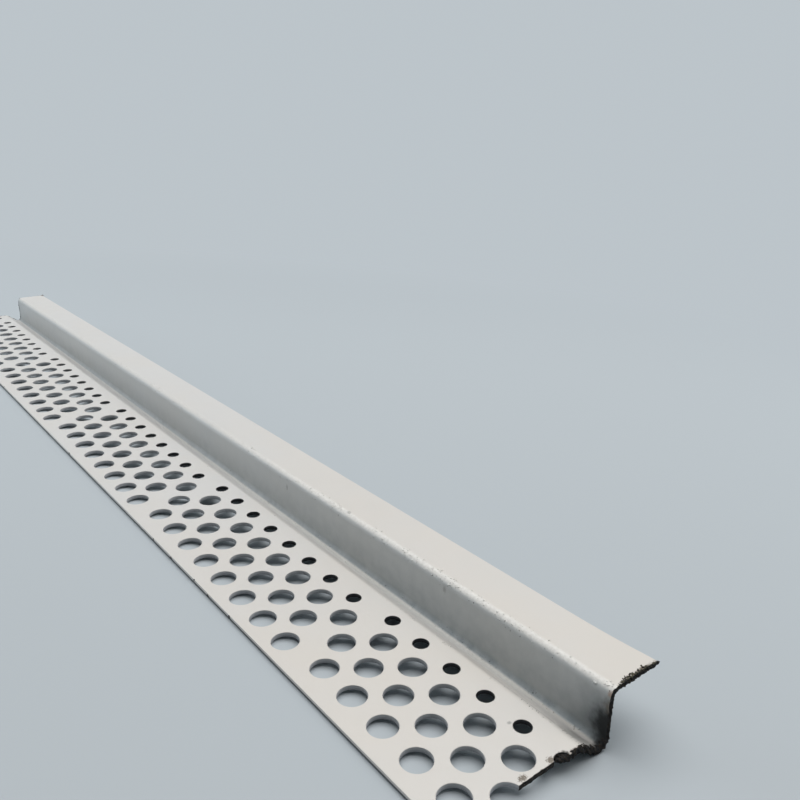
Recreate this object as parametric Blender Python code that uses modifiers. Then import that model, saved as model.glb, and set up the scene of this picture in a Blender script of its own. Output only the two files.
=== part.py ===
"""Perforated sheet-steel drywall bead, a short length as cut from stock.

One strip of painted sheet, rolled to a Z section. A wide flange with punched
holes runs to a crease, dips into a V groove, rises as a web and turns out over
a rounded ridge into a narrow lip. The strip lies as it rests on a level floor:
on the free edge of the flange and on the bottom of the groove.

Section axes while it is drawn: x across the strip from the flange's free edge
towards the web, z up from the flange's top face, y along the strip.
"""

import math

import bmesh
import bpy
from mathutils import Matrix, Vector

MM = 0.001

# The sheet and the length that was cut from it
LENGTH = 252.0 * MM
SHEET = 0.7 * MM

# Section, outside faces
LEG_WIDTH = 25.0 * MM     # free edge of the flange to the web's outer face
GROOVE_WIDTH = 4.9 * MM   # crease, where the flange starts to fall, to the web's outer face
GROOVE_SLOPE = math.radians(36.0)
RIDGE_HEIGHT = 5.5 * MM   # lip's top face above the flange's top face
LIP_WIDTH = 7.4 * MM      # web's outer face to the lip's free edge

# Bend radii on the middle of the sheet
CREASE_RADIUS = 1.0 * MM
GROOVE_RADIUS = 1.25 * MM
RIDGE_RADIUS = 1.0 * MM
BEND_STEP = math.radians(9.0)

# Punched holes: columns of large ones, and one of small ones nearest the crease
LARGE_HOLE = 3.85 * MM
SMALL_HOLE = 2.3 * MM
COLUMN_SPACING = 4.63 * MM    # between columns of large holes
SMALL_COLUMN_GAP = 3.84 * MM  # last large column to the small one
CREASE_LAND = 1.0 * MM        # least flat metal between the holes and the crease
HOLE_PITCH = 6.35 * MM        # along the strip
PUNCH_OVERRUN = 1.0 * MM      # how far a punch goes past each face of the sheet
LARGE_HOLE_SIDES = 18
SMALL_HOLE_SIDES = 12

# Strokes of the punching tool, which sits a little askew, so its holes drift
ROWS_PER_STROKE = 8
STROKE_GAP = 1.5 * MM         # extra feed of the strip between two strokes
STROKE_START = -15.6 * MM     # first stroke's first row, measured from the near cut
FIRST_COLUMN_AT = 3.28 * MM   # free edge to the first column where a stroke starts
TOOL_SKEW = math.radians(1.43)

PAINT_COLOUR = (0.74, 0.73, 0.70, 1.0)
PAINT_ROUGHNESS = 0.45
SHARP_ANGLE = math.radians(30.0)


def clear_scene():
    for obj in list(bpy.data.objects):
        bpy.data.objects.remove(obj, do_unlink=True)


def new_collection(name):
    collection = bpy.data.collections.new(name)
    bpy.context.scene.collection.children.link(collection)
    return collection


def new_object(name, mesh, collection):
    obj = bpy.data.objects.new(name, mesh)
    collection.objects.link(obj)
    return obj


def painted_steel():
    material = bpy.data.materials.new("off_white_paint")
    material.use_nodes = True
    shader = material.node_tree.nodes["Principled BSDF"]
    shader.inputs["Base Color"].default_value = PAINT_COLOUR
    shader.inputs["Roughness"].default_value = PAINT_ROUGHNESS
    shader.inputs["Metallic"].default_value = 0.0
    return material


def rounded_corner(before, corner, after, radius):
    """Points of the arc that rounds a corner of the path, from tangent to tangent."""
    back = (before - corner).normalized()
    ahead = (after - corner).normalized()
    opening = back.angle(ahead)
    centre = corner + (back + ahead).normalized() * (radius / math.sin(opening / 2))
    start = corner + back * (radius / math.tan(opening / 2)) - centre
    turn = (math.pi - opening) * math.copysign(1.0, -back.cross(ahead))
    steps = max(2, math.ceil(abs(turn) / BEND_STEP))
    return [
        centre + Matrix.Rotation(turn * step / steps, 2) @ start
        for step in range(steps + 1)
    ]


def sheet_path():
    """Middle of the sheet across the section, bends rounded, as (x, z) points."""
    half = SHEET / 2
    web_x = LEG_WIDTH - half
    crease_x = LEG_WIDTH - GROOVE_WIDTH - half * math.tan(GROOVE_SLOPE / 2)
    groove_z = -half - (web_x - crease_x) * math.tan(GROOVE_SLOPE)
    corners = [
        Vector((0.0, -half)),
        Vector((crease_x, -half)),
        Vector((web_x, groove_z)),
        Vector((web_x, RIDGE_HEIGHT - half)),
        Vector((LEG_WIDTH + LIP_WIDTH, RIDGE_HEIGHT - half)),
    ]
    radii = (CREASE_RADIUS, GROOVE_RADIUS, RIDGE_RADIUS)
    path = [corners[0]]
    for index, radius in enumerate(radii, start=1):
        path += rounded_corner(corners[index - 1], corners[index], corners[index + 1], radius)
    path.append(corners[-1])
    return path


def rolled_strip(collection):
    """The open middle surface of the sheet, drawn out along y and given its thickness."""
    mesh = bpy.data.meshes.new("corner_bead")
    shape = bmesh.new()
    verts = [shape.verts.new((point.x, 0.0, point.y)) for point in sheet_path()]
    edges = [shape.edges.new(pair) for pair in zip(verts, verts[1:])]
    drawn = bmesh.ops.extrude_edge_only(shape, edges=edges)
    far = [item for item in drawn["geom"] if isinstance(item, bmesh.types.BMVert)]
    bmesh.ops.translate(shape, verts=far, vec=(0.0, LENGTH, 0.0))
    bmesh.ops.recalc_face_normals(shape, faces=shape.faces)
    shape.to_mesh(mesh)
    shape.free()
    strip = new_object("corner_bead", mesh, collection)
    wall = strip.modifiers.new("sheet", "SOLIDIFY")
    wall.thickness = SHEET
    wall.offset = 0.0
    wall.use_even_offset = True
    return strip


def hole_columns():
    """Across the strip: each column's distance from the first, its punch and sides."""
    drift = ROWS_PER_STROKE * HOLE_PITCH * math.sin(TOOL_SKEW)
    last_at = LEG_WIDTH - GROOVE_WIDTH - CREASE_LAND - SMALL_HOLE / 2 - drift
    room = last_at - SMALL_COLUMN_GAP - FIRST_COLUMN_AT
    large = [number * COLUMN_SPACING for number in range(int(room / COLUMN_SPACING) + 1)]
    columns = [(across, LARGE_HOLE, LARGE_HOLE_SIDES) for across in large]
    columns.append((large[-1] + SMALL_COLUMN_GAP, SMALL_HOLE, SMALL_HOLE_SIDES))
    return columns


def hole_places():
    """Centre (x, y), diameter and sides of every hole that reaches into the strip."""
    skew = Matrix.Rotation(-TOOL_SKEW, 2)
    feed = ROWS_PER_STROKE * HOLE_PITCH + STROKE_GAP
    strokes = math.ceil((LENGTH - STROKE_START) / feed) + 1
    for stroke in range(strokes):
        start = Vector((FIRST_COLUMN_AT, STROKE_START + stroke * feed))
        for row in range(ROWS_PER_STROKE):
            for number, (across, size, sides) in enumerate(hole_columns()):
                # Every second column is staggered by half a pitch
                along = (row + number % 2 / 2) * HOLE_PITCH
                centre = start + skew @ Vector((across, along))
                if -size / 2 < centre.y < LENGTH + size / 2:
                    yield centre, size, sides


def hole_punches(collection):
    """All the punches as one cutter, which goes right through the flange."""
    mesh = bpy.data.meshes.new("hole_punches")
    shape = bmesh.new()
    for centre, size, sides in hole_places():
        bmesh.ops.create_cone(
            shape,
            cap_ends=True,
            segments=sides,
            radius1=size / 2,
            radius2=size / 2,
            depth=SHEET + 2 * PUNCH_OVERRUN,
            matrix=Matrix.Translation((centre.x, centre.y, -SHEET / 2)),
        )
    shape.to_mesh(mesh)
    shape.free()
    punches = new_object("hole_punches", mesh, collection)
    punches.hide_render = True
    punches.display_type = "WIRE"
    return punches


def punch(strip, punches):
    cut = strip.modifiers.new("punched_holes", "BOOLEAN")
    cut.operation = "DIFFERENCE"
    cut.object = punches
    cut.solver = "EXACT"


def shade(strip):
    """Applies the modifiers, then shades the bends smooth and the cut edges sharp."""
    graph = bpy.context.evaluated_depsgraph_get()
    mesh = bpy.data.meshes.new_from_object(strip.evaluated_get(graph))
    strip.modifiers.clear()
    strip.data = mesh
    mesh.shade_smooth()
    mesh.set_sharp_from_angle(angle=SHARP_ANGLE)


def rest_angle(points):
    """Turn about y that brings the free edge and the groove's lowest side level."""
    heel = Vector((0.0, -SHEET))
    spans = [Vector((point.x, point.z)) - heel for point in points]
    return min(math.atan2(span.y, span.x) for span in spans if span.x > SHEET)


def lay_down(strip, punches):
    """Rests the strip on the floor, the middle of its outline over the origin."""
    points = [vertex.co.copy() for vertex in strip.data.vertices]
    turn = Matrix.Rotation(rest_angle(points), 4, "Y")
    turned = [turn @ point for point in points]
    low_x = min(point.x for point in turned)
    high_x = max(point.x for point in turned)
    floor = min(point.z for point in turned)
    place = Matrix.Translation((-(low_x + high_x) / 2, -LENGTH / 2, -floor)) @ turn
    for obj in (strip, punches):
        obj.matrix_world = place


def main():
    clear_scene()
    strip = rolled_strip(new_collection("drywall_corner_bead"))
    strip.data.materials.append(painted_steel())
    punches = hole_punches(new_collection("cutters"))
    punch(strip, punches)
    shade(strip)
    lay_down(strip, punches)


main()
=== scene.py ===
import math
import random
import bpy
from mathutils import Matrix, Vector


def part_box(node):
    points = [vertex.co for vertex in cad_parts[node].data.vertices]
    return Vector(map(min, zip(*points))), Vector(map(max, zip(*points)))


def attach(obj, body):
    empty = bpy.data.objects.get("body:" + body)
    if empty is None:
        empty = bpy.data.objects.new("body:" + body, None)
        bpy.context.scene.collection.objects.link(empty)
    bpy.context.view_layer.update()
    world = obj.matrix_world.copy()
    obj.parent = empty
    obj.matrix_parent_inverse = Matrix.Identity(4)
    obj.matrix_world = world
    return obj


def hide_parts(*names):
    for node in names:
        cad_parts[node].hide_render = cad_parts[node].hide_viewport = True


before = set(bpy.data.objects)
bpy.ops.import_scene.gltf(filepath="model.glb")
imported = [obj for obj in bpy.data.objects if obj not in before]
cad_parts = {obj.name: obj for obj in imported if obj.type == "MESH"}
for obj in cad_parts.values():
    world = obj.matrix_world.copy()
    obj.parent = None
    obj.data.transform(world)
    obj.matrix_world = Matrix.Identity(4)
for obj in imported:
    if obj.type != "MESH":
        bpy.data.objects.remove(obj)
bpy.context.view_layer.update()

# Looks of a cut length of perforated drywall bead: painted sheet with softened hole
# rims, burred and sooty at the near cut, worn along its bends. Some of its colours are
# painted shade, painted reflection, painted warm light and painted highlight.
#
# Pieces are drawn in section axes: x across the strip from the flange's free edge,
# y along it from the near cut, z up from the flange's top face. They are laid down on
# the floor when they are finished. Materials see the same axes, in millimetres.

from types import SimpleNamespace

import bmesh
import bpy
from mathutils import Matrix, Vector, noise

MM = 0.001

# The strip, as the frame has it
LOW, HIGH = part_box("corner_bead")
LENGTH = HIGH[1] - LOW[1]
SHEET = 0.7 * MM
LEG_WIDTH = 25.0 * MM
GROOVE_WIDTH = 4.9 * MM
GROOVE_SLOPE = math.radians(36.0)
RIDGE_HEIGHT = 5.5 * MM
LIP_WIDTH = 7.4 * MM
CREASE_RADIUS = 1.0 * MM
GROOVE_RADIUS = 1.25 * MM
RIDGE_RADIUS = 1.0 * MM

# Punched holes, which drift sideways within each stroke of the punching tool
LARGE_HOLE = 3.85 * MM
SMALL_HOLE = 2.3 * MM
COLUMNS = (
    (0.0, LARGE_HOLE),
    (4.63 * MM, LARGE_HOLE),
    (9.26 * MM, LARGE_HOLE),
    (13.10 * MM, SMALL_HOLE),
)
HOLE_PITCH = 6.35 * MM
ROWS_PER_STROKE = 8
STROKE_GAP = 1.5 * MM
STROKE_START = -15.6 * MM
FIRST_COLUMN_AT = 3.28 * MM
TOOL_SKEW = math.radians(1.43)
HOLE_SIDES = 32

# Fineness of the dressed sheet
BEND_STEP = math.radians(7.5)
ROW_PITCH = 2.0 * MM
END_WASTE = 1.5 * MM       # metal past each end before the ends are cut off
TOUCHING = 1e-4 * MM       # closer than this is the same place
RIM_RADIUS = 0.09 * MM     # softened rims and edges under the paint
RIM_STEPS = 3
ROUNDED_FROM = math.radians(50.0)   # edges this sharp are rounded
SHARP_FROM = math.radians(40.0)     # edges this sharp are shaded sharp

# Place of each bend in the list that bends() gives
CREASE_BEND = 0
GROOVE_BEND = 1
RIDGE_BEND = 2

# Cuts at the two ends: the near one leaves the flange a little short of the lip
NEAR_FLANGE_SHORT = 0.38 * MM
NEAR_STEP_FROM = 16.4 * MM
NEAR_STEP_TO = 18.0 * MM
NEAR_RAGGED = 0.09 * MM
FAR_RAGGED = 0.05 * MM
CUTTER_SIZE = (38.0 * MM, 14.0 * MM)      # across the strip, and up
CUTTER_CENTRE = (16.5 * MM, 1.5 * MM)
CUTTER_GRID = (170, 60)
LIP_FLARE = 0.60 * MM      # the burnt corner of the lip spreads this far past its edge
FLARE_REACH = 12.0 * MM
FLARE_FROM = LEG_WIDTH + 0.9 * LIP_WIDTH

# Crumbs of slag and burnt paint, by stretch of the painted face. In mm: from and to
# across the face, reach along the strip, span through the sheet, sizes. Third: the count.
FLAT_FROM = 10.5 * MM      # where that measure starts, across the flange
LINE_STEPS = 8             # straight steps that stand for each bend in that measure
FARTHEST = 2.2             # no crumb lies further in than this many times its usual reach
NEAR_CRUMBS = (
    (0.2, 5.6, 34, 0.12, (-0.60, 0.01), (0.05, 0.10)),
    (6.0, 7.3, 90, 0.40, (-0.70, -0.28), (0.14, 0.24)),
    (7.0, 8.2, 40, 0.20, (-0.70, 0.02), (0.09, 0.16)),
    (8.0, 13.6, 260, 0.24, (-0.78, 0.04), (0.10, 0.19)),
    (13.2, 15.0, 90, 0.34, (-0.72, 0.06), (0.12, 0.20)),
    (15.0, 22.0, 70, 0.06, (-0.66, -0.04), (0.06, 0.10)),
    (21.4, 29.4, 150, 0.07, (-0.70, 0.0), (0.07, 0.13)),
    (22.6, 28.2, 100, 0.30, (-0.06, 0.05), (0.05, 0.14)),
    (28.8, 30.1, 26, 0.05, (-0.42, -0.16), (0.12, 0.20)),
)
FAR_CRUMBS = (
    (-10.4, 9.0, 190, 0.07, (-0.45, 0.02), (0.07, 0.13)),
    (9.0, 22.0, 150, 0.10, (-0.55, 0.04), (0.08, 0.17)),
    (22.0, 29.3, 60, 0.05, (-0.60, 0.0), (0.06, 0.11)),
    (28.6, 29.5, 16, 0.14, (-0.40, 0.06), (0.10, 0.18)),
)
CRUMB_FACE = 0.07 * MM
CRUST_GRAIN = 0.22 * MM
CRUST_DEPTH = 0.10 * MM
CRUST_SINK = 0.55          # share of that depth that lies below the fused face

# Dents along the free edge, and their places along the strip
NICK_PLACES = (46.5, 53.3, 58.0, 66.5, 73.6, 79.8, 118.0, 171.0)
NICK_SIZE = 0.22 * MM

# Nibs and grit in the paint: size range, and clusters where the photograph shows them
NIB_SIZE = (0.05 * MM, 0.14 * MM)
GRIT_SIZE = (0.03 * MM, 0.07 * MM)
RIDGE_NIBS = 620
GROOVE_NIBS = 420
CREASE_NIBS = 110
RIDGE_GRIT = 51
GROOVE_GRIT = 46
CREASE_GRIT = 36
CLUSTERED = 0.33           # share of them that lie in clusters
CLUSTER_SPREAD = 0.8       # in mm along the strip, as are the clusters' places
CLEAR_OF_CUTS = 0.5 * MM   # no nib or grit lies closer to a cut
RIDGE_CLUSTERS = (
    1.8, 13.4, 16.0, 22.6, 27.2, 28.7, 31.4, 37.7, 43.3, 45.1,
    56.3, 57.3, 62.6, 71.3, 86.4, 104.0, 131.0, 160.0, 198.0,
)
GROOVE_CLUSTERS = (
    4.5, 8.0, 22.0, 24.0, 26.6, 37.0, 42.0, 59.0, 61.0, 77.0, 87.0, 110.0, 140.0, 176.0, 221.0,
)
CREASE_CLUSTERS = (1.2, 2.6, 4.0, 6.5, 9.0, 14.0, 23.0, 31.0)

# Colours
CLEAN_PAINT = (0.682, 0.677, 0.669, 1.0)
# painted warm light: the tint the paint takes towards the near cut
PAINTED_WARM_LIGHT = (0.70, 0.669, 0.628, 1.0)
BACKING_COAT = (0.60, 0.60, 0.585, 1.0)
# hole walls: grey sheared steel at the edge; their darker depths and the small holes' near-black
# are painted shade
HOLE_WALL = (0.50, 0.51, 0.52, 1.0)
HOLE_WALL_DEEP_SHADE = (0.36, 0.37, 0.39, 1.0)
# the slit edge's dark steel, darkened further as painted shade along the foot of the free edge
SLIT_EDGE_AND_SHADE = (0.11, 0.115, 0.125, 1.0)
SMALL_HOLE_WALL_SHADE = (0.03, 0.03, 0.033, 1.0)
SMALL_HOLE_DEEP_SHADE = (0.012, 0.012, 0.014, 1.0)
# paler paint on the bends: partly crazing, partly painted highlight
CRAZED_AND_HIGHLIT_PAINT = (0.95, 0.94, 0.91, 1.0)
# the web's cool tint is painted reflection, and its grey-blue is painted shade
WEB_REFLECTION_TINT = (0.62, 0.675, 0.70, 1.0)
WEB_PAINTED_SHADE = (0.155, 0.20, 0.228, 1.0)
# the slope's and the crease's darkening is partly dirt, partly painted shade of the groove
DIRT_AND_SLOPE_SHADE = (0.262, 0.258, 0.25, 1.0)
CREASE_DIRT_AND_SHADE = (0.24, 0.22, 0.20, 1.0)
DARK_SPECK = (0.12, 0.11, 0.10, 1.0)
# soot; under the slope at the near cut it also stands for painted shade
SOOT_AND_SHADE = (0.006, 0.007, 0.007, 1.0)
GREY_SOOT = (0.10, 0.115, 0.12, 1.0)
RUST = (0.36, 0.17, 0.07, 1.0)
SCORCHED = (0.17, 0.14, 0.11, 1.0)
BURNT_BLACK = (0.006, 0.006, 0.007, 1.0)
BURNT_BROWN = (0.03, 0.022, 0.015, 1.0)
BURNT_OLIVE = (0.10, 0.098, 0.064, 1.0)
BURNT_PALE = (0.42, 0.34, 0.29, 1.0)
PAINT_GLOSS = (0.32, 0.42)    # roughness, from glossier to duller patches
WALL_GLOSS = (0.62, 0.80)
STEEL_ROUGHNESS = 0.75
STEEL_SHINE = 0.25
PAINT_RELIEF = 0.02 * MM
BEND_GRAIN = 2.0           # relief of the crazed paint on the bends, in heights of the peel
STEEL_RELIEF = 0.08 * MM
SCORE_RELIEF = 0.03 * MM
TOP_SIDE = (-0.454, 0.0, 0.891)   # faces of the painted side lie within 63 degrees of this

# Stains on the paint: centre and reach in section millimetres, solid core, raggedness,
# colour and strength. Their raggedness has a grain in keeping with their reach.
STAIN_GRAIN = 2.6
STAINS = (
    ((24.0, -0.5, 0.6), (1.2, 8.0, 7.5), 0.05, 0.20, GREY_SOOT, 0.60),
    ((24.1, -0.3, 0.4), (1.1, 4.4, 4.8), 0.12, 0.30, GREY_SOOT, 0.80),
    ((24.2, -0.2, 0.2), (1.0, 3.1, 4.2), 0.34, 0.30, SOOT_AND_SHADE, 1.0),
    ((24.3, -0.2, 3.2), (0.9, 1.4, 1.6), 0.10, 0.50, SCORCHED, 0.85),
    ((23.9, -0.2, -2.1), (1.5, 2.1, 1.3), 0.35, 0.35, SOOT_AND_SHADE, 0.97),
    # this one blackens the slope and its underside at the near cut: partly soot, partly painted
    # shade of the dark hollow under the slope
    ((22.4, -0.3, -1.6), (2.9, 1.3, 2.4), 0.35, 0.35, SOOT_AND_SHADE, 0.95),
    ((21.6, 2.0, -1.2), (1.8, 3.6, 1.6), 0.10, 0.35, DIRT_AND_SLOPE_SHADE, 0.70),
    ((17.2, 0.2, -0.45), (1.5, 1.6, 0.40), 0.80, 0.10, SOOT_AND_SHADE, 1.0),
    ((17.2, 0.3, 0.0), (1.1, 0.95, 0.4), 0.55, 0.35, SOOT_AND_SHADE, 0.90),
    ((24.5, 0.2, 4.75), (0.7, 0.55, 0.6), 0.25, 0.60, RUST, 0.5),
    ((29.4, -0.15, 5.5), (4.6, 0.75, 0.4), 0.45, 0.75, SCORCHED, 0.95),
    ((11.25, 0.95, 0.0), (0.75, 0.50, 0.3), 0.40, 1.10, SCORCHED, 0.90),
    ((15.6, 0.80, 0.0), (0.75, 0.60, 0.3), 0.40, 1.10, SCORCHED, 0.90),
    ((13.2, 0.38, 0.0), (3.4, 0.20, 0.3), 0.30, 0.90, SCORCHED, 0.85),
    ((18.9, 0.15, 0.0), (1.3, 0.45, 0.3), 0.30, 0.90, SCORCHED, 0.85),
    ((24.1, 252.1, 2.0), (1.0, 1.1, 5.5), 0.35, 0.35, SOOT_AND_SHADE, 0.85),
    ((22.2, 252.1, -1.5), (2.4, 1.0, 2.2), 0.35, 0.35, SOOT_AND_SHADE, 0.90),
    ((14.6, 252.1, 0.0), (7.0, 0.75, 0.5), 0.40, 0.50, SCORCHED, 0.85),
    ((24.3, 71.45, 3.2), (0.4, 0.12, 0.75), 0.45, 0.20, SOOT_AND_SHADE, 0.80),
    ((24.4, 28.6, 4.0), (0.6, 0.5, 0.9), 0.20, 0.50, DIRT_AND_SLOPE_SHADE, 0.50),
    ((25.2, 53.3, 5.5), (0.5, 0.7, 0.3), 0.20, 0.60, DIRT_AND_SLOPE_SHADE, 0.60),
    ((16.1, 7.65, 0.0), (0.45, 0.35, 0.3), 0.20, 0.40, GREY_SOOT, 0.45),
)

# Camera, from the photograph's vanishing points and the holes' spacing
CAMERA_AT = Vector((-63.02, -168.84, 62.75)) * MM
CAMERA_TURN = [math.radians(angle) for angle in (73.856, -5.012, -38.441)]
CAMERA_LENS = 35.945
SENSOR = 36.0
NEAREST_SEEN = 5.0 * MM

# Stage
FLOOR_SIZE = 12.0
FLOOR_COLOUR = (0.47, 0.52, 0.56, 1.0)
FLOOR_ROUGHNESS = 0.7
BACKDROP_COLOUR = (0.505, 0.555, 0.59, 1.0)
BACKDROP_FROM = 0.13
BACKDROP_FULL = 0.36
KEY_AT = (0.05, 0.12, 0.80)
KEY_SIZE = 1.0
KEY_WATTS = 7.5
KEY_COLOUR = (1.0, 0.985, 0.96)
SIDE_AT = (0.50, -0.30, 0.40)
SIDE_SIZE = 0.50
SIDE_WATTS = 1.3
SIDE_COLOUR = (1.0, 0.99, 0.97)
FILL_AT = (-0.25, 0.35, 0.15)
FILL_SIZE = 0.25
FILL_WATTS = 0.30
FILL_COLOUR = (0.84, 0.94, 1.0)
SKY_COLOUR = (0.86, 0.94, 1.0, 1.0)
SKY_STRENGTH = 0.06


def activate(obj):
    """Makes one object the only one selected, and the active one."""
    bpy.ops.object.select_all(action="DESELECT")
    obj.select_set(True)
    bpy.context.view_layer.objects.active = obj


def pick(kind, test):
    """Selects, in edit mode, just the verts, edges or faces that pass the test."""
    shape = bmesh.from_edit_mesh(bpy.context.object.data)
    bpy.ops.mesh.select_all(action="DESELECT")
    for item in getattr(shape, kind):
        if test(item):
            item.select_set(True)
    bmesh.update_edit_mesh(bpy.context.object.data)


def apply_modifiers(obj):
    activate(obj)
    for modifier in list(obj.modifiers):
        bpy.ops.object.modifier_apply(modifier=modifier.name)


def section_corners():
    """Corners of the middle of the sheet before the bends are rounded, as (x, z)."""
    half = SHEET / 2
    web_x = LEG_WIDTH - half
    crease_x = LEG_WIDTH - GROOVE_WIDTH - half * math.tan(GROOVE_SLOPE / 2)
    groove_z = -half - (web_x - crease_x) * math.tan(GROOVE_SLOPE)
    return [
        Vector((0.0, -half)),
        Vector((crease_x, -half)),
        Vector((web_x, groove_z)),
        Vector((web_x, RIDGE_HEIGHT - half)),
        Vector((LEG_WIDTH + LIP_WIDTH, RIDGE_HEIGHT - half)),
    ]


def bends():
    """Start, centre and turn of each bend; a turn clockwise from y is positive."""
    corners = section_corners()
    found = []
    for index, radius in enumerate((CREASE_RADIUS, GROOVE_RADIUS, RIDGE_RADIUS), start=1):
        back = (corners[index - 1] - corners[index]).normalized()
        ahead = (corners[index + 1] - corners[index]).normalized()
        opening = back.angle(ahead)
        start = corners[index] + back * (radius / math.tan(opening / 2))
        centre = corners[index] + (back + ahead).normalized() * (radius / math.sin(opening / 2))
        turn = (math.pi - opening) * math.copysign(1.0, back.cross(ahead))
        found.append((start, centre, turn))
    return found


def turned(point, centre, turn):
    """A section point after a clockwise turn about a centre."""
    return centre + Matrix.Rotation(-turn, 2) @ (point - centre)


def draw_out(start, end):
    """Extrudes the selected edges from one section point to another."""
    shift = end - start
    bpy.ops.mesh.extrude_region_move(TRANSFORM_OT_translate={"value": (shift.x, 0.0, shift.y)})


def rolled_sheet():
    """The strip and its waste: a flat flange, drawn out and spun into the bends after it."""
    near = -END_WASTE
    far = LENGTH + END_WASTE
    corners = section_corners()
    rounds = bends()
    first = rounds[0][0]
    bpy.ops.object.select_all(action="DESELECT")
    bpy.ops.mesh.primitive_plane_add(size=1.0)
    sheet = bpy.context.object
    sheet.name = "bead_sheet"
    bpy.ops.object.mode_set(mode="EDIT")
    bpy.ops.transform.resize(value=(first.x, far - near, 1.0))
    bpy.ops.transform.translate(value=(first.x / 2, (near + far) / 2, first.y))
    pick("edges", lambda edge: all(vert.co.x > first.x - TOUCHING for vert in edge.verts))
    bpy.ops.mesh.subdivide(number_cuts=round((far - near) / ROW_PITCH) - 1)
    for number, (start, centre, turn) in enumerate(rounds):
        if number:
            draw_out(reached, start)
        bpy.ops.mesh.spin(
            steps=round(abs(turn) / BEND_STEP),
            angle=-turn,
            center=(centre.x, 0.0, centre.y),
            axis=(0.0, 1.0, 0.0),
        )
        reached = turned(start, centre, turn)
    draw_out(reached, corners[-1])
    bpy.ops.mesh.select_all(action="SELECT")
    bpy.ops.mesh.normals_make_consistent(inside=False)
    bpy.ops.object.mode_set(mode="OBJECT")
    wall = sheet.modifiers.new("sheet", "SOLIDIFY")
    wall.thickness = SHEET
    wall.offset = 0.0
    wall.use_even_offset = True
    apply_modifiers(sheet)
    return sheet


def hole_places():
    """Centre (x, y) and diameter of every hole that reaches into the strip."""
    skew = Matrix.Rotation(-TOOL_SKEW, 2)
    feed = ROWS_PER_STROKE * HOLE_PITCH + STROKE_GAP
    for stroke in range(math.ceil((LENGTH - STROKE_START) / feed) + 1):
        start = Vector((FIRST_COLUMN_AT, STROKE_START + stroke * feed))
        for row in range(ROWS_PER_STROKE):
            for number, (across, size) in enumerate(COLUMNS):
                along = (row + number % 2 / 2) * HOLE_PITCH
                centre = start + skew @ Vector((across, along))
                if -END_WASTE < centre.y + size / 2 and centre.y - size / 2 < LENGTH + END_WASTE:
                    yield centre, size


def joined(pieces, name):
    """Joins pieces into the first of them, with its place in its mesh."""
    activate(pieces[0])
    for piece in pieces:
        piece.select_set(True)
    bpy.ops.object.join()
    bpy.ops.object.transform_apply(location=True, rotation=True, scale=True)
    pieces[0].name = name
    return pieces[0]


def copies(first, places):
    """The first piece and copies of it with meshes of their own, one on each matrix."""
    made = []
    for place in places:
        piece = first
        if made:
            piece = first.copy()
            piece.data = first.data.copy()
            bpy.context.scene.collection.objects.link(piece)
        piece.matrix_world = place
        made.append(piece)
    return made


def hole_punches(walls):
    """A large and a small punch, each with its wall's finish, copied to every hole."""
    punches = []
    for size, wall in walls.items():
        bpy.ops.object.select_all(action="DESELECT")
        bpy.ops.mesh.primitive_cylinder_add(vertices=HOLE_SIDES, radius=size / 2, depth=4 * SHEET)
        bpy.context.object.data.materials.append(wall)
        places = [
            Matrix.Translation((centre.x, centre.y, -SHEET / 2))
            for centre, diameter in hole_places()
            if diameter == size
        ]
        punches += copies(bpy.context.object, places)
    return joined(punches, "punches")


def dent_tool():
    """One round tool copied to every nick of the free edge."""
    bpy.ops.object.select_all(action="DESELECT")
    bpy.ops.mesh.primitive_ico_sphere_add(subdivisions=2, radius=NICK_SIZE)
    draw = random.Random(5)
    places = [
        Matrix.LocRotScale(
            (-0.3 * NICK_SIZE, along * MM, -draw.uniform(0.0, 0.6) * SHEET),
            None,
            (1.0, draw.uniform(0.6, 1.6), draw.uniform(0.8, 1.5)),
        )
        for along in NICK_PLACES
    ]
    return joined(copies(bpy.context.object, places), "dents")


def cut_away(piece, cutter):
    """Takes the cutter out of the piece, which keeps the cutter's material on the cut."""
    cut = piece.modifiers.new("cut", "BOOLEAN")
    cut.operation = "DIFFERENCE"
    cut.object = cutter
    cut.solver = "EXACT"
    cut.material_mode = "TRANSFER"
    apply_modifiers(piece)
    bpy.data.objects.remove(cutter, do_unlink=True)


def soften_edges(piece):
    """Rounds every sharp edge as the paint does."""
    round_over = piece.modifiers.new("soft_edges", "BEVEL")
    round_over.width = RIM_RADIUS
    round_over.segments = RIM_STEPS
    round_over.limit_method = "ANGLE"
    round_over.angle_limit = ROUNDED_FROM
    round_over.use_clamp_overlap = False
    apply_modifiers(piece)


def near_cut(x):
    """How far the near cut lies inside the strip's full length, across the strip."""
    share = min(1.0, max(0.0, (x - NEAR_STEP_FROM) / (NEAR_STEP_TO - NEAR_STEP_FROM)))
    return NEAR_FLANGE_SHORT * (1.0 - share * share * (3.0 - 2.0 * share))


def far_cut(x):
    """The far cut is straight across the strip, at its full length."""
    return 0.0


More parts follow.
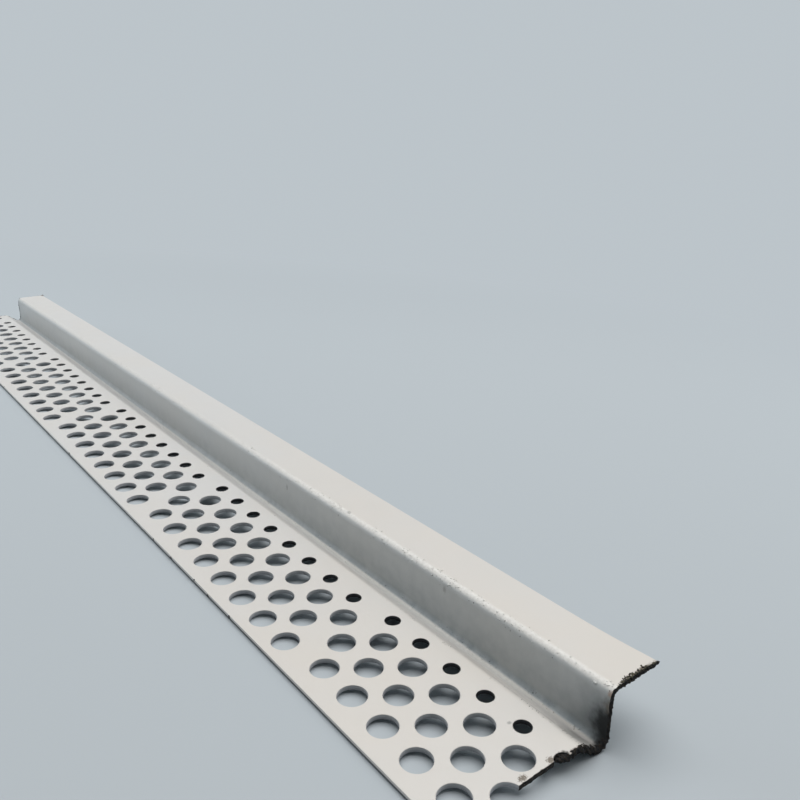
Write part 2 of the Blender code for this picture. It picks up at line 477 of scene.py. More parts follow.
def end_cutter(at, outwards, inset, ragged, seed, steel):
    """A block past one end of the strip, rough on the side that meets the metal."""
    bpy.ops.object.select_all(action="DESELECT")
    bpy.ops.mesh.primitive_grid_add(
        x_subdivisions=CUTTER_GRID[0],
        y_subdivisions=CUTTER_GRID[1],
        size=1.0,
        rotation=(math.pi / 2, 0.0, 0.0),
    )
    cutter = bpy.context.object
    bpy.ops.object.transform_apply(rotation=True)
    bpy.ops.object.mode_set(mode="EDIT")
    bpy.ops.transform.resize(value=(CUTTER_SIZE[0], 1.0, CUTTER_SIZE[1]))
    bpy.ops.transform.translate(value=(CUTTER_CENTRE[0], at, CUTTER_CENTRE[1]))
    bpy.ops.mesh.extrude_region_move(
        TRANSFORM_OT_translate={"value": (0.0, outwards * 2 * END_WASTE, 0.0)}
    )
    bpy.ops.mesh.select_all(action="SELECT")
    bpy.ops.mesh.normals_make_consistent(inside=False)
    bpy.ops.object.mode_set(mode="OBJECT")
    for vertex in cutter.data.vertices:
        if abs(vertex.co.y - at) < END_WASTE / 2:
            place = vertex.co / MM
            bite = noise.noise(place * 1.7 + Vector((seed, 0.0, 0.0)))
            bite += 0.6 * noise.noise(place * 4.5 + Vector((0.0, seed, 0.0)))
            vertex.co.y -= outwards * (inset(vertex.co.x) + ragged * max(0.0, 0.9 + bite))
    cutter.data.materials.append(steel)
    return cutter


def roughen(piece):
    """Fuses a piece's crumbs into one crust of even small faces, and makes that lumpy."""
    skin = piece.modifiers.new("even_faces", "REMESH")
    skin.mode = "VOXEL"
    skin.voxel_size = CRUMB_FACE
    lumps = bpy.data.textures.new(piece.name + "_lumps", "CLOUDS")
    lumps.noise_scale = CRUST_GRAIN
    lumps.noise_depth = 4
    heave = piece.modifiers.new("lumps", "DISPLACE")
    heave.texture = lumps
    heave.texture_coords = "LOCAL"
    heave.strength = CRUST_DEPTH
    heave.mid_level = CRUST_SINK
    apply_modifiers(piece)
    bpy.ops.object.shade_smooth()


def bend_point(number, share, outside):
    """The point and normal of a face of the sheet where a share of a bend's turn is made."""
    start, centre, turn = bends()[number]
    middle = turned(start, centre, turn * share)
    normal = (middle - centre).normalized() * outside
    return middle + normal * (SHEET / 2), normal


def lay_down(piece):
    """Turns a finished piece from section axes to its rest on the floor."""
    piece.matrix_world = REST
    activate(piece)
    bpy.ops.object.transform_apply(location=True, rotation=True, scale=True)


def rest_matrix():
    """Section axes to world: the heel of the flange and the groove's bottom on the floor."""
    groove = bends()[GROOVE_BEND][1]
    heel = Vector((0.0, -SHEET))
    away = groove - heel
    lean = math.atan2(away.y, away.x) - math.asin((GROOVE_RADIUS + SHEET / 2) / away.length)
    lift = LOW[2] + SHEET * math.cos(lean)
    return Matrix.Translation((LOW[0], LOW[1], lift)) @ Matrix.Rotation(lean, 4, "Y")


REST = rest_matrix()


def add(tree, kind, sockets=None, **settings):
    """Adds a node; each socket is given a value or takes another node's output."""
    node = tree.nodes.new("ShaderNode" + kind)
    for name, value in settings.items():
        setattr(node, name, value)
    for name, value in (sockets or {}).items():
        if isinstance(value, bpy.types.NodeSocket):
            tree.links.new(value, node.inputs[name])
        else:
            node.inputs[name].default_value = value
    return node


def maths(tree, operation, *values, clamp=False):
    node = add(tree, "Math", dict(enumerate(values)), operation=operation, use_clamp=clamp)
    return node.outputs[0]


def vector_maths(tree, operation, *values):
    return add(tree, "VectorMath", dict(enumerate(values)), operation=operation).outputs[0]


def ramp(tree, value, low, high, to_low=0.0, to_high=1.0):
    """A smooth step from one value to another."""
    sockets = {
        "Value": value,
        "From Min": low,
        "From Max": high,
        "To Min": to_low,
        "To Max": to_high,
    }
    return add(tree, "MapRange", sockets, interpolation_type="SMOOTHSTEP").outputs["Result"]


def tinted(tree, share, under, over):
    """One colour laid over another by a share of 0 to 1."""
    node = add(tree, "Mix", {0: share, 6: under, 7: over}, data_type="RGBA", clamp_factor=True)
    return node.outputs[2]


def clouds(tree, place, scale, detail=3.0, roughness=0.55):
    sockets = {"Vector": place, "Scale": scale, "Detail": detail, "Roughness": roughness}
    return add(tree, "TexNoise", sockets).outputs["Fac"]


def effect(name, inputs, output):
    """An empty node group with named sockets: its tree, its inputs and its output node."""
    tree = bpy.data.node_groups.new(name, "ShaderNodeTree")
    for label, value in inputs.items():
        kind = "NodeSocketVector" if isinstance(value, tuple) else "NodeSocketFloat"
        socket = tree.interface.new_socket(label, in_out="INPUT", socket_type=kind)
        socket.default_value = value
    tree.interface.new_socket(output, in_out="OUTPUT", socket_type="NodeSocketFloat")
    start = tree.nodes.new("NodeGroupInput")
    end = tree.nodes.new("NodeGroupOutput")
    return tree, start.outputs, end.inputs


def use(tree, group, **values):
    """Places a node group; a value's name has underscores where the socket's has spaces."""
    node = tree.nodes.new("ShaderNodeGroup")
    node.node_tree = group
    for name, value in values.items():
        socket = node.inputs[name.replace("_", " ").title()]
        if isinstance(value, bpy.types.NodeSocket):
            tree.links.new(value, socket)
        else:
            socket.default_value = value
    return node.outputs[0]


def paint_skin_group():
    """Height of the paint: orange peel, and fine draw lines along the strip."""
    tree, given, out = effect(
        "paint_skin", {"Place": (0.0, 0.0, 0.0), "Peel": 1.0, "Draw Lines": 0.3}, "Height"
    )
    peel = clouds(tree, given["Place"], 1.5, 2.0)
    fine = clouds(tree, given["Place"], 6.0, 2.0)
    stretched = vector_maths(tree, "MULTIPLY", given["Place"], (3.0, 0.02, 3.0))
    lines = clouds(tree, stretched, 1.0, 3.0)
    rough = maths(tree, "MULTIPLY_ADD", fine, 0.25, peel)
    rough = maths(tree, "MULTIPLY", rough, given["Peel"])
    tree.links.new(maths(tree, "MULTIPLY_ADD", lines, given["Draw Lines"], rough), out["Height"])
    return tree


def bend_wear_group():
    """Broken specks along a line that runs the length of the strip at section (x, z)."""
    inputs = {
        "Place": (0.0, 0.0, 0.0),
        "Line X": 0.0,
        "Line Z": 0.0,
        "Reach": 0.5,
        "Speck Size": 0.3,
        "Share": 0.4,
    }
    tree, given, out = effect("bend_wear", inputs, "Mask")
    line = add(tree, "CombineXYZ", {"X": given["Line X"], "Z": given["Line Z"]}).outputs[0]
    flat = vector_maths(tree, "MULTIPLY", given["Place"], (1.0, 0.0, 1.0))
    away = add(tree, "VectorMath", {0: flat, 1: line}, operation="DISTANCE").outputs["Value"]
    near = maths(tree, "DIVIDE", away, given["Reach"])
    fading = ramp(tree, near, 0.35, 1.0, 1.0, 0.0)
    grain = maths(tree, "DIVIDE", 1.0, given["Speck Size"])
    specks = clouds(tree, given["Place"], grain, 2.0)
    patches = clouds(tree, given["Place"], 0.16, 2.0)
    level = maths(tree, "MULTIPLY_ADD", patches, 0.5, specks)
    floor_level = maths(tree, "MULTIPLY_ADD", given["Share"], -0.55, 1.02)
    over = maths(tree, "SUBTRACT", level, floor_level)
    shown = maths(tree, "MULTIPLY", over, 14.0, clamp=True)
    tree.links.new(maths(tree, "MULTIPLY", shown, fading), out["Mask"])
    return tree


def stain_group():
    """A blot with a ragged edge, as wide each way as its reach."""
    inputs = {
        "Place": (0.0, 0.0, 0.0),
        "Centre": (0.0, 0.0, 0.0),
        "Reach": (1.0, 1.0, 1.0),
        "Core": 0.3,
        "Raggedness": 0.3,
        "Grain": 1.2,
    }
    tree, given, out = effect("stain", inputs, "Mask")
    offset = vector_maths(tree, "SUBTRACT", given["Place"], given["Centre"])
    scaled = vector_maths(tree, "DIVIDE", offset, given["Reach"])
    away = add(tree, "VectorMath", {0: scaled}, operation="LENGTH").outputs["Value"]
    torn = maths(tree, "SUBTRACT", clouds(tree, given["Place"], given["Grain"], 3.0), 0.5)
    torn = maths(tree, "MULTIPLY", torn, given["Raggedness"])
    away = maths(tree, "MULTIPLY_ADD", torn, 2.0, away)
    tree.links.new(ramp(tree, away, given["Core"], 1.0, 1.0, 0.0), out["Mask"])
    return tree


def stray_specks_group():
    """Small separate specks scattered evenly."""
    tree, given, out = effect(
        "stray_specks", {"Place": (0.0, 0.0, 0.0), "Spacing": 4.0, "Size": 0.1}, "Mask"
    )
    spread = maths(tree, "DIVIDE", 1.0, given["Spacing"])
    cells = add(tree, "TexVoronoi", {"Vector": given["Place"], "Scale": spread})
    size = add(tree, "SeparateColor", {"Color": cells.outputs["Color"]}).outputs["Red"]
    size = maths(tree, "POWER", size, 3.0)
    size = maths(tree, "MULTIPLY", size, given["Size"])
    away = maths(tree, "MULTIPLY", cells.outputs["Distance"], given["Spacing"])
    gap = maths(tree, "SUBTRACT", size, away)
    tree.links.new(ramp(tree, gap, -0.02, 0.03), out["Mask"])
    return tree


def new_material(name):
    """A material's tree, its Principled shader, and places in section axes in millimetres."""
    material = bpy.data.materials.new(name)
    material.use_nodes = True
    tree = material.node_tree
    back = REST.inverted()
    where = add(tree, "TexCoord").outputs["Object"]
    sockets = {
        "Vector": where,
        "Location": back.to_translation() / MM,
        "Rotation": back.to_euler(),
        "Scale": (1.0 / MM, 1.0 / MM, 1.0 / MM),
    }
    place = add(tree, "Mapping", sockets).outputs["Vector"]
    return material, tree, tree.nodes["Principled BSDF"], place


def raised(tree, height, distance):
    sockets = {"Height": height, "Distance": distance, "Strength": 1.0}
    return add(tree, "Bump", sockets).outputs["Normal"]


def product(tree, *factors):
    result = factors[0]
    for factor in factors[1:]:
        result = maths(tree, "MULTIPLY", result, factor)
    return result


def facing(tree, direction):
    """How far the surface faces a direction given in section axes, from -1 to 1."""
    normal = add(tree, "TexCoord").outputs["Normal"]
    toward = REST.to_3x3() @ Vector(direction)
    node = add(tree, "VectorMath", {0: normal, 1: toward}, operation="DOT_PRODUCT")
    return node.outputs["Value"]


def band(tree, value, rise, fall):
    """1 between two smooth edges, each given by the two values that it spans."""
    return product(tree, ramp(tree, value, *rise), ramp(tree, value, *fall, 1.0, 0.0))


def section_place(tree, place):
    """A place and its parts, by the section's axes."""
    parts = add(tree, "SeparateXYZ", {0: place}).outputs
    return SimpleNamespace(point=place, across=parts["X"], along=parts["Y"], up=parts["Z"])


def blotched_paint_warm_lit(tree, at):
    """Off-white in large soft blotches, warmer towards the near cut as painted warm light."""
    blotches = clouds(tree, at.point, 0.045, 3.0)
    blotched = ramp(tree, blotches, 0.35, 0.65, 0.0, 0.4)
    # painted warm light, fading out away from the near cut
    warm_light = ramp(tree, at.along, 20.0, 100.0, 0.6, 0.0)
    return tinted(tree, maths(tree, "ADD", blotched, warm_light), CLEAN_PAINT, PAINTED_WARM_LIGHT)


def shaded_web(tree, at, drift, colour):
    """A cooler tint on the web as painted reflection, and painted shade, darkest low down and
    near the near cut.
    """
    on_web = band(tree, at.across, (23.5, 23.9), (24.5, 24.9))
    colour = tinted(tree, product(tree, on_web, 0.45), colour, WEB_REFLECTION_TINT)
    # painted shade: darkest near the near cut and low down, lighter up the web
    web_shade = ramp(tree, at.along, 0.0, 130.0, 0.50, 0.24)
    web_shade = maths(tree, "ADD", web_shade, ramp(tree, at.up, -0.8, -2.2, 0.0, 0.22))
    web_shade = maths(tree, "SUBTRACT", web_shade, ramp(tree, at.up, -1.8, 4.4, 0.0, 0.26), clamp=True)
    web_shade = product(tree, on_web, web_shade, ramp(tree, drift, 0.3, 0.7, 0.85, 1.15))
    return tinted(tree, web_shade, colour, WEB_PAINTED_SHADE)


def slope_dirt_and_shade(tree, groups, at, drift, colour):
    """A darker slope below the crease and a darker line along the crease itself, partly dirt and
    partly painted shade.
    """
    # darkening of the slope, partly dirt and partly painted shade, strongest at the near cut
    near_dirt_and_shade = ramp(tree, at.along, 1.0, 8.0, 0.72, 0.0)
    far_dirt_and_shade = ramp(tree, at.along, 80.0, 150.0, 0.0, 0.12)
    dirt = product(
        tree,
        maths(tree, "ADD", near_dirt_and_shade, far_dirt_and_shade),
        band(tree, at.across, (19.4, 21.0), (22.7, 23.5)),
        ramp(tree, drift, 0.3, 0.7, 0.8, 1.2),
    )
    colour = tinted(tree, dirt, colour, DIRT_AND_SLOPE_SHADE)
    crease = use(
        tree,
        groups["bend_wear"],
        place=at.point,
        line_x=20.75,
        line_z=-0.35,
        reach=0.34,
        speck_size=1.2,
        share=0.62,
    )
    crease = product(tree, crease, ramp(tree, at.along, 4.0, 26.0, 0.45, 0.16))
    return tinted(tree, crease, colour, CREASE_DIRT_AND_SHADE)


def crazed_and_highlit_bends(tree, at, colour):
    """Paint that crazed where the sheet was bent, paler there partly from crazing and partly as
    painted highlight: its colour and its relief.
    """
    ridge = product(
        tree,
        ramp(tree, at.up, 4.1, 4.8),
        ramp(tree, at.across, 25.3, 25.9, 1.0, 0.0),
    )
    groove = product(
        tree,
        ramp(tree, at.up, -0.9, -1.5),
        band(tree, at.across, (21.6, 22.6), (23.5, 23.9)),
        ramp(tree, at.along, 5.0, 16.0),
    )
    crazing = clouds(tree, at.point, 2.3, 5.0, 0.62)
    # paler ridge and groove bottom, partly crazing and partly painted highlight, strongest near
    # the near cut
    ridge_highlight = product(
        tree,
        ramp(tree, at.up, 4.75, 5.2),
        ramp(tree, at.across, 25.1, 25.6, 1.0, 0.0),
        ramp(tree, at.along, 60.0, 110.0, 1.0, 0.55),
    )
    groove_highlight = product(tree, groove, ramp(tree, at.along, 70.0, 120.0, 0.9, 0.3))
    crazing_and_highlight = maths(tree, "MAXIMUM", ridge_highlight, groove_highlight)
    crazing_and_highlight = product(tree, crazing_and_highlight, ramp(tree, crazing, 0.3, 0.7, 0.45, 0.9))
    relief = product(tree, maths(tree, "MAXIMUM", ridge, groove), crazing, BEND_GRAIN)
    return tinted(tree, crazing_and_highlight, colour, CRAZED_AND_HIGHLIT_PAINT), relief


def speckled(tree, groups, at, colour):
    """A few specks broken through the paint along the bends, and strays: colour and specks."""
    ridge = use(
        tree,
        groups["bend_wear"],
        place=at.point,
        line_x=24.5,
        line_z=4.8,
        reach=0.5,
        speck_size=0.22,
        share=0.1,
    )
    groove = use(
        tree,
        groups["bend_wear"],
        place=at.point,
        line_x=24.1,
        line_z=-2.0,
        reach=0.7,
        speck_size=0.22,
        share=0.16,
    )
    scuffs = maths(tree, "MAXIMUM", ridge, groove)
    colour = tinted(tree, product(tree, scuffs, 0.65), colour, DARK_SPECK)
    strays = use(tree, groups["stray_specks"], place=at.point, spacing=8.0, size=0.16)
    return tinted(tree, product(tree, strays, 0.4), colour, DARK_SPECK), scuffs


def back_coat_and_edges(tree, at, colour):
    """The back's thin grey coat, painted shade low on the edges, and the slit free edge, dark as
    steel and as painted shade: colour, and where they are dull.
    """
    back = ramp(tree, facing(tree, TOP_SIDE), -0.15, -0.4)
    colour = tinted(tree, back, colour, BACKING_COAT)
    # painted shade low on the edges of the holes and of the free edge
    rim = product(
        tree,
        ramp(tree, at.up, -0.3, -0.5),
        ramp(tree, at.across, 19.3, 19.5, 1.0, 0.0),
        ramp(tree, back, 0.6, 1.0, 1.0, 0.0),
    )
    colour = tinted(tree, rim, colour, HOLE_WALL_DEEP_SHADE)
    # the slit edge's lower half: dark steel, partly painted shade
    slit = product(
        tree,
        ramp(tree, at.up, -0.26, -0.44),
        ramp(tree, at.across, 0.1, 0.3, 1.0, 0.0),
        0.92,
    )
    return tinted(tree, slit, colour, SLIT_EDGE_AND_SHADE), maths(tree, "MAXIMUM", rim, back)


def stained(tree, groups, at, colour):
    """Stains of the two cuts and of the web, one partly painted shade: colour, and where there is
    any stain.
    """
    anywhere = 0.0
    for centre, reach, core, ragged, stain_colour, share in STAINS:
        mask = use(
            tree,
            groups["stain"],
            place=at.point,
            centre=centre,
            reach=reach,
            core=core,
            raggedness=ragged,
            grain=STAIN_GRAIN * 3.0 / sum(reach),
        )
        colour = tinted(tree, product(tree, mask, share), colour, stain_colour)
        anywhere = maths(tree, "MAXIMUM", mask, anywhere)
    return colour, anywhere


def white_paint(groups):
    """Satin off-white paint with the dirt and wear that the photograph shows on it, and with
    painted shade, reflection, warm light and highlight.

    The masks' distances are section millimetres, and their other values are shares.
    """
    material, tree, shader, place = new_material("white_paint")
    at = section_place(tree, place)
    drift = clouds(tree, place, 0.5, 3.0)
    colour = blotched_paint_warm_lit(tree, at)
    colour = shaded_web(tree, at, drift, colour)
    colour = slope_dirt_and_shade(tree, groups, at, drift, colour)
    colour, crazing = crazed_and_highlit_bends(tree, at, colour)
    colour, scuffs = speckled(tree, groups, at, colour)
    colour, back_and_rim = back_coat_and_edges(tree, at, colour)
    colour, stains = stained(tree, groups, at, colour)
    skin = use(tree, groups["paint_skin"], place=place, peel=1.0, draw_lines=0.35)
    height = maths(tree, "MULTIPLY_ADD", scuffs, -1.5, skin)
    height = maths(tree, "ADD", height, crazing)
    gloss = ramp(tree, clouds(tree, place, 0.3, 4.0), 0.3, 0.7, *PAINT_GLOSS)
    dull = maths(tree, "MAXIMUM", stains, back_and_rim)
    gloss = maths(tree, "MULTIPLY_ADD", dull, 0.4, gloss, clamp=True)
    tree.links.new(colour, shader.inputs["Base Color"])
    tree.links.new(gloss, shader.inputs["Roughness"])
    tree.links.new(raised(tree, height, PAINT_RELIEF), shader.inputs["Normal"])
    return material


def punched_wall(name, edge_colour, deep_shade, clogging):
    """Sheared steel in a punched hole: scored, darker towards the back as painted shade, paler
    far along.
    """
    material, tree, shader, place = new_material(name)
    at = section_place(tree, place)
    scores = vector_maths(tree, "MULTIPLY", place, (5.0, 5.0, 0.6))
    scores = clouds(tree, scores, 1.6, 3.0)
    depth = maths(tree, "MULTIPLY_ADD", scores, 0.3, at.up)
    # painted shade, deepening towards the back of the hole
    colour = tinted(tree, ramp(tree, depth, -0.05, -0.45), edge_colour, deep_shade)
    clogged = ramp(tree, at.along, 90.0, 230.0, 0.0, clogging)
    colour = tinted(tree, clogged, colour, HOLE_WALL)
    tree.links.new(colour, shader.inputs["Base Color"])
    tree.links.new(raised(tree, scores, SCORE_RELIEF), shader.inputs["Normal"])
    tree.links.new(ramp(tree, scores, 0.3, 0.7, *WALL_GLOSS), shader.inputs["Roughness"])
    return material


def scorched_steel():
    """Bare cut steel, blackened, with burnt paint turned olive and pale on top of the lip."""
    material, tree, shader, place = new_material("scorched_steel")
    at = section_place(tree, place)
    mottle = clouds(tree, place, 3.5, 4.0)
    colour = tinted(tree, ramp(tree, mottle, 0.45, 0.65), BURNT_BLACK, BURNT_BROWN)
    on_lip = ramp(tree, at.across, 24.9, 26.2)
    upward = ramp(tree, facing(tree, (0.0, 0.25, 1.0)), 0.30, 0.85)
    patches = ramp(tree, clouds(tree, place, 2.6, 3.0), 0.42, 0.56)
    olive = product(tree, on_lip, upward, patches, 0.75)
    colour = tinted(tree, olive, colour, BURNT_OLIVE)
    flecks = ramp(tree, clouds(tree, place, 4.5, 2.0), 0.56, 0.64)
    inner = ramp(tree, at.along, 0.12, 0.40)
    off_groove = maths(tree, "MAXIMUM", on_lip, ramp(tree, at.across, 15.9, 16.3, 1.0, 0.0))
    flecks = product(tree, upward, off_groove, flecks, ramp(tree, inner, 0.0, 1.0, 0.15, 0.8))
    colour = tinted(tree, flecks, colour, BURNT_PALE)
    tree.links.new(colour, shader.inputs["Base Color"])
    shader.inputs["Roughness"].default_value = STEEL_ROUGHNESS
    shader.inputs["Specular IOR Level"].default_value = STEEL_SHINE
    grit = clouds(tree, place, 9.0, 4.0, 0.7)
    tree.links.new(raised(tree, grit, STEEL_RELIEF), shader.inputs["Normal"])
    return material


def flare_lip(sheet):
    """Spreads the lip's edge towards the near cut, where the cutting heat bent it."""
    for vertex in sheet.data.vertices:
        if vertex.co.x > FLARE_FROM and vertex.co.y < FLARE_REACH:
            share = 1.0 - max(0.0, vertex.co.y) / FLARE_REACH
            vertex.co.x += LIP_FLARE * share * share


def bead_sheet(paint, walls, steel):
    """The painted sheet itself, from its waste lengths to its two rough cuts."""
    sheet = rolled_sheet()
    sheet.data.materials.append(paint)
    flare_lip(sheet)
    cut_away(sheet, hole_punches(walls))
    soften_edges(sheet)
    dents = dent_tool()
    dents.data.materials.append(walls[SMALL_HOLE])
    cut_away(sheet, dents)
    cut_away(sheet, end_cutter(0.0, -1.0, near_cut, NEAR_RAGGED, 3.0, steel))
    cut_away(sheet, end_cutter(LENGTH, 1.0, far_cut, FAR_RAGGED, 8.0, steel))
    activate(sheet)
    bpy.ops.object.shade_smooth_by_angle(angle=SHARP_FROM)
    level = sheet.modifiers.new("level_flats", "WEIGHTED_NORMAL")
    level.keep_sharp = True
    apply_modifiers(sheet)
    lay_down(sheet)
    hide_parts("corner_bead")
    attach(sheet, "root")


def keep_off_floor(piece):
    """Flattens what would reach below the floor, as its weight does."""
    for vertex in piece.data.vertices:
        vertex.co.z = max(vertex.co.z, 0.0)


def painted_line():
    """Section points along the painted face, from the flange to the lip's tip."""
    line = [Vector((FLAT_FROM, 0.0))]
    for number, outside in enumerate((1, -1, 1)):
        for step in range(LINE_STEPS + 1):
            line.append(bend_point(number, step / LINE_STEPS, outside)[0])
    line.append(Vector((LEG_WIDTH + LIP_WIDTH, RIDGE_HEIGHT)))
    return line


def on_line(line, reach):
    """The point that lies a distance along a line of points, and the face's normal there."""
    for start, end in zip(line, line[1:]):
        span = (end - start).length
        ahead = (end - start).normalized()
        if reach <= span or end is line[-1]:
            return start + ahead * reach, Vector((-ahead.y, ahead.x))
        reach -= span


def crumbs(name, stretches, seed, at, inwards, inset, steel):
    """Crumbs strewn along a cut of the strip and fused into a ragged crust."""
    draw = random.Random(seed)
    line = painted_line()
    places = []
    for start, end, count, depth, through, sizes in stretches:
        for _ in range(count):
            point, normal = on_line(line, draw.uniform(start, end) * MM)
            point += normal * draw.uniform(*through) * MM
            behind = min(abs(draw.gauss(0.0, depth)), FARTHEST * depth) * MM
            along = at + inwards * (inset(point.x) + behind)
            size = Vector([draw.uniform(0.8, 1.3) for _ in range(3)]) * draw.uniform(*sizes) * MM
            places.append(Matrix.LocRotScale((point.x, along, point.y), None, size))
    bpy.ops.object.select_all(action="DESELECT")
    bpy.ops.mesh.primitive_ico_sphere_add(subdivisions=2, radius=1.0)
    crust = joined(copies(bpy.context.object, places), name)
    roughen(crust)
    crust.data.materials.append(steel)
    lay_down(crust)
    keep_off_floor(crust)
    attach(crust, "root")


def scatter_along(draw, clusters):
    """A place along the strip, some of them bunched up at the clusters."""
    if draw.random() < CLUSTERED:
        along = draw.gauss(draw.choice(clusters), CLUSTER_SPREAD) * MM
    else:
        along = draw.uniform(0.0, LENGTH)
    return min(max(along, CLEAR_OF_CUTS), LENGTH - CLEAR_OF_CUTS)


def on_bend(draw, clusters, count, sizes, number, outside, low, high):
    """Matrices of grains on a bend, between two shares of its turn."""
    for _ in range(count):
        along = scatter_along(draw, clusters)
        point, normal = bend_point(number, draw.uniform(low, high), outside)
        size = draw.uniform(0.0, 1.0) ** 2 * (sizes[1] - sizes[0]) + sizes[0]
        stretch = Vector((draw.uniform(0.8, 1.5), draw.uniform(0.8, 1.9), draw.uniform(0.5, 0.9)))
        turn = Vector((normal.x, 0.0, normal.y)).to_track_quat("Z", "Y")
        yield Matrix.LocRotScale((point.x, along, point.y), turn, stretch * size)


def grains(name, places, material):
    """One small grain copied to every place."""
    bpy.ops.object.select_all(action="DESELECT")
    bpy.ops.mesh.primitive_ico_sphere_add(subdivisions=1, radius=1.0)
    piece = joined(copies(bpy.context.object, places), name)
    activate(piece)
    bpy.ops.object.shade_smooth()
    piece.data.materials.append(material)
    lay_down(piece)
    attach(piece, "root")


def paint_nibs(paint):
    """Nibs of paint that stand up along the ridge, the groove and the crease."""
    draw = random.Random(11)
    places = [
        *on_bend(draw, RIDGE_CLUSTERS, RIDGE_NIBS, NIB_SIZE, RIDGE_BEND, 1, 0.25, 1.0),
        *on_bend(draw, GROOVE_CLUSTERS, GROOVE_NIBS, NIB_SIZE, GROOVE_BEND, -1, 0.1, 0.9),
        *on_bend(draw, CREASE_CLUSTERS, CREASE_NIBS, NIB_SIZE, CREASE_BEND, 1, 0.2, 1.0),
    ]
    grains("paint_nibs", places, paint)


def dark_grit(steel):
    """Dark grit caught in the paint along the ridge, the groove and the crease."""
    draw = random.Random(23)
    places = [
        *on_bend(draw, RIDGE_CLUSTERS, RIDGE_GRIT, GRIT_SIZE, RIDGE_BEND, 1, 0.05, 0.5),
        *on_bend(draw, GROOVE_CLUSTERS, GROOVE_GRIT, GRIT_SIZE, GROOVE_BEND, -1, 0.3, 0.95),
        *on_bend(draw, CREASE_CLUSTERS, CREASE_GRIT, GRIT_SIZE, CREASE_BEND, 1, 0.3, 1.0),
    ]
    grains("dark_grit", places, steel)


def seen_directly(nodes, links):
    """1 for what the camera, a mirror or clear glass sees, and 0 for what only gets lit."""
    ray = nodes.new("ShaderNodeLightPath")
    shown = ray.outputs["Is Camera Ray"]
    for name in ("Is Glossy Ray", "Is Transmission Ray"):
        either = nodes.new("ShaderNodeMath")
        either.operation = "MAXIMUM"
        links.new(shown, either.inputs[0])
        links.new(ray.outputs[name], either.inputs[1])
        shown = either.outputs["Value"]
    return shown


def pale_floor():
    """Pale grey ground that fades, for the camera and mirrors only, into the even backdrop."""
    surface = bpy.data.materials.new("pale_floor")
    surface.use_nodes = True
    nodes = surface.node_tree.nodes
    links = surface.node_tree.links
    ground = nodes["Principled BSDF"]
    ground.inputs["Base Color"].default_value = FLOOR_COLOUR
    ground.inputs["Roughness"].default_value = FLOOR_ROUGHNESS
    place = nodes.new("ShaderNodeTexCoord")
    away = nodes.new("ShaderNodeVectorMath")
    away.operation = "LENGTH"
    fade = nodes.new("ShaderNodeMapRange")
    fade.interpolation_type = "SMOOTHSTEP"
    fade.inputs["From Min"].default_value = BACKDROP_FROM
    fade.inputs["From Max"].default_value = BACKDROP_FULL
    seen = seen_directly(nodes, links)
    share = nodes.new("ShaderNodeMath")
    share.operation = "MULTIPLY"
    backdrop = nodes.new("ShaderNodeEmission")
    backdrop.inputs["Color"].default_value = BACKDROP_COLOUR
    mixed = nodes.new("ShaderNodeMixShader")
    links.new(place.outputs["Object"], away.inputs[0])
    links.new(away.outputs["Value"], fade.inputs["Value"])
    links.new(fade.outputs["Result"], share.inputs[0])
    links.new(seen, share.inputs[1])
    links.new(share.outputs["Value"], mixed.inputs["Fac"])
    links.new(ground.outputs["BSDF"], mixed.inputs[1])
    links.new(backdrop.outputs["Emission"], mixed.inputs[2])
    links.new(mixed.outputs["Shader"], nodes["Material Output"].inputs["Surface"])
    return surface


def floor():
    bpy.ops.object.select_all(action="DESELECT")
    bpy.ops.mesh.primitive_plane_add(size=FLOOR_SIZE)
    ground = bpy.context.object
    ground.name = "floor"
    ground.data.materials.append(pale_floor())


def area_light(name, place, aim, size, watts, colour):
    lamp = bpy.data.lights.new(name, "AREA")
    lamp.shape = "SQUARE"
    lamp.size = size
    lamp.energy = watts
    lamp.color = colour
    light = bpy.data.objects.new(name, lamp)
    light.location = place
    light.rotation_euler = (Vector(aim) - Vector(place)).to_track_quat("-Z", "Y").to_euler()
    bpy.context.scene.collection.objects.link(light)


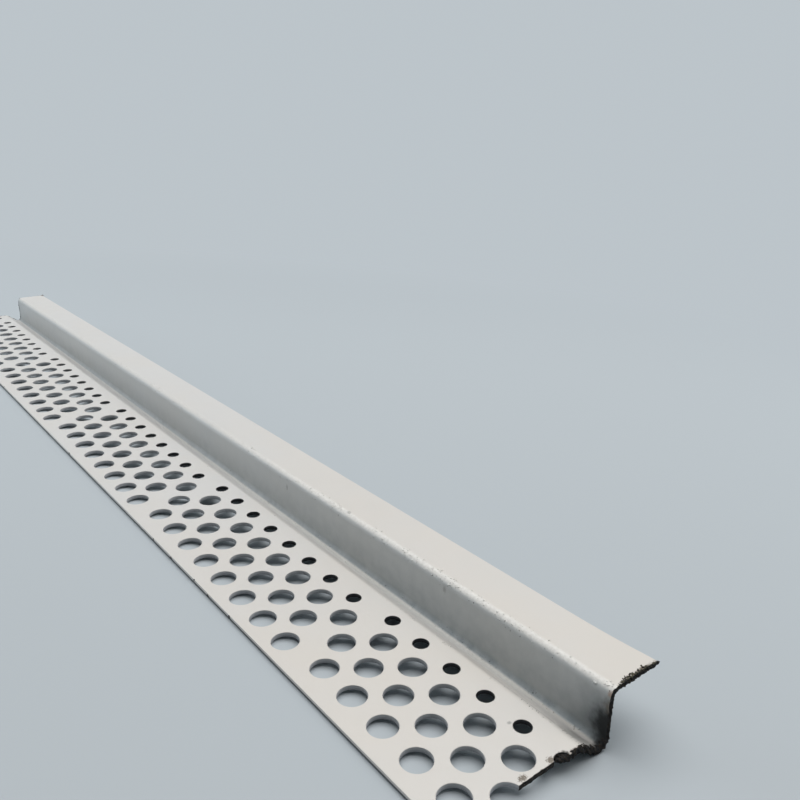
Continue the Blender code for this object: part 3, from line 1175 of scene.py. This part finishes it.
def studio():
    """A broad key above, a side light past the lip, a weak cool fill at the far end."""
    area_light("key", KEY_AT, (0.0, 0.0, 0.0), KEY_SIZE, KEY_WATTS, KEY_COLOUR)
    area_light("lip_side", SIDE_AT, (0.0, LOW[1], 0.0), SIDE_SIZE, SIDE_WATTS, SIDE_COLOUR)
    area_light("far_fill", FILL_AT, (0.0, HIGH[1], 0.0), FILL_SIZE, FILL_WATTS, FILL_COLOUR)
    world = bpy.data.worlds.new("studio")
    bpy.context.scene.world = world
    world.use_nodes = True
    nodes = world.node_tree.nodes
    links = world.node_tree.links
    sky = nodes["Background"]
    sky.inputs["Color"].default_value = SKY_COLOUR
    sky.inputs["Strength"].default_value = SKY_STRENGTH
    backdrop = nodes.new("ShaderNodeBackground")
    backdrop.inputs["Color"].default_value = BACKDROP_COLOUR
    mixed = nodes.new("ShaderNodeMixShader")
    links.new(seen_directly(nodes, links), mixed.inputs["Fac"])
    links.new(sky.outputs["Background"], mixed.inputs[1])
    links.new(backdrop.outputs["Background"], mixed.inputs[2])
    links.new(mixed.outputs["Shader"], nodes["World Output"].inputs["Surface"])
    bpy.context.scene.view_settings.view_transform = "Standard"


def camera():
    lens = bpy.data.cameras.new("camera")
    lens.sensor_width = SENSOR
    lens.lens = CAMERA_LENS
    lens.clip_start = NEAREST_SEEN
    eye = bpy.data.objects.new("camera", lens)
    eye.location = CAMERA_AT
    eye.rotation_euler = CAMERA_TURN
    bpy.context.scene.collection.objects.link(eye)
    bpy.context.scene.camera = eye


def main():
    camera()
    studio()
    floor()
    groups = {
        "paint_skin": paint_skin_group(),
        "bend_wear": bend_wear_group(),
        "stain": stain_group(),
        "stray_specks": stray_specks_group(),
    }
    paint = white_paint(groups)
    steel = scorched_steel()
    walls = {
        LARGE_HOLE: punched_wall("large_hole_wall", HOLE_WALL, HOLE_WALL_DEEP_SHADE, 0.0),
        SMALL_HOLE: punched_wall("small_hole_wall_shaded", SMALL_HOLE_WALL_SHADE, SMALL_HOLE_DEEP_SHADE, 0.45),
    }
    bead_sheet(paint, walls, steel)
    crumbs("near_cut_crust", NEAR_CRUMBS, 31, 0.0, 1.0, near_cut, steel)
    crumbs("far_cut_crust", FAR_CRUMBS, 32, LENGTH, -1.0, far_cut, steel)
    paint_nibs(paint)
    dark_grit(steel)


main()
